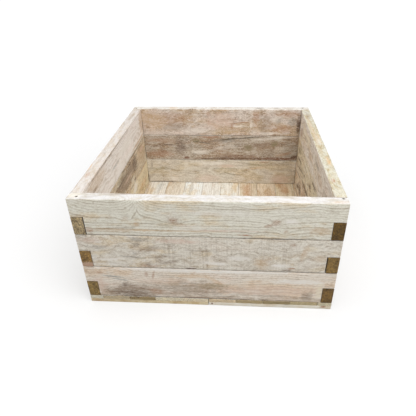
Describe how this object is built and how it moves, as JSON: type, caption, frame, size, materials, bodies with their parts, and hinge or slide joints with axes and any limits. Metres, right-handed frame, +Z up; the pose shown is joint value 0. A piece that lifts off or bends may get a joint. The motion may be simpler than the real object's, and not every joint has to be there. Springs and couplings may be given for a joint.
{
  "type": "raised garden bed",
  "caption": "Square raised garden bed of stacked timber boards, half-lapped and screwed at the corners, on a plank floor with low runners; open at the top.",
  "frame": {"origin": "on the ground, under the middle of the bed", "axes": "+Z up, +X to the right as seen from the front, +Y to the back, so that the front faces -Y"},
  "size_m": [0.9, 0.9, 0.464],
  "materials": {
    "front_wall_wood": "planed softwood, weathered pale",
    "back_wall_wood": "planed softwood, brown and mottled inside",
    "left_wall_wood": "planed softwood, weathered pale",
    "right_wall_wood": "planed softwood, greyed",
    "floor_wood": "planed softwood",
    "runner_wood": "planed softwood",
    "screw_steel": "dulled coating"
  },
  "bodies": {
    "root": {"back_board_bottom": "back_wall_wood", "back_board_middle": "back_wall_wood", "back_board_top": "back_wall_wood", "back_screw_floor_plank_1": "screw_steel", "back_screw_floor_plank_2": "screw_steel", "back_screw_floor_plank_3": "screw_steel", "back_screw_floor_plank_4": "screw_steel", "back_screw_floor_plank_5": "screw_steel", "back_screw_floor_plank_6": "screw_steel", "back_screw_floor_plank_7": "screw_steel", "back_screw_floor_plank_8": "screw_steel", "corner_screw_bottom_back_left": "screw_steel", "corner_screw_bottom_back_right": "screw_steel", "corner_screw_bottom_front_left": "screw_steel", "corner_screw_bottom_front_right": "screw_steel", "corner_screw_middle_back_left": "screw_steel", "corner_screw_middle_back_right": "screw_steel", "corner_screw_middle_front_left": "screw_steel", "corner_screw_middle_front_right": "screw_steel", "corner_screw_top_back_left": "screw_steel", "corner_screw_top_back_right": "screw_steel", "corner_screw_top_front_left": "screw_steel", "corner_screw_top_front_right": "screw_steel", "floor_plank_1": "floor_wood", "floor_plank_2": "floor_wood", "floor_plank_3": "floor_wood", "floor_plank_4": "floor_wood", "floor_plank_5": "floor_wood", "floor_plank_6": "floor_wood", "floor_plank_7": "floor_wood", "floor_plank_8": "floor_wood", "floor_strip_left": "floor_wood", "floor_strip_right": "floor_wood", "front_board_bottom": "front_wall_wood", "front_board_middle": "front_wall_wood", "front_board_top": "front_wall_wood", "front_screw_floor_plank_1": "screw_steel", "front_screw_floor_plank_2": "screw_steel", "front_screw_floor_plank_3": "screw_steel", "front_screw_floor_plank_4": "screw_steel", "front_screw_floor_plank_5": "screw_steel", "front_screw_floor_plank_6": "screw_steel", "front_screw_floor_plank_7": "screw_steel", "front_screw_floor_plank_8": "screw_steel", "left_board_bottom": "left_wall_wood", "left_board_middle": "left_wall_wood", "left_board_top": "left_wall_wood", "middle_screw_floor_plank_1": "screw_steel", "middle_screw_floor_plank_4": "screw_steel", "middle_screw_floor_plank_5": "screw_steel", "middle_screw_floor_plank_8": "screw_steel", "right_board_bottom": "right_wall_wood", "right_board_middle": "right_wall_wood", "right_board_top": "right_wall_wood", "runner_back_left": "runner_wood", "runner_back_right": "runner_wood", "runner_front_left": "runner_wood", "runner_front_right": "runner_wood", "runner_middle_left": "runner_wood", "runner_middle_right": "runner_wood"}
  },
  "joints": []
}
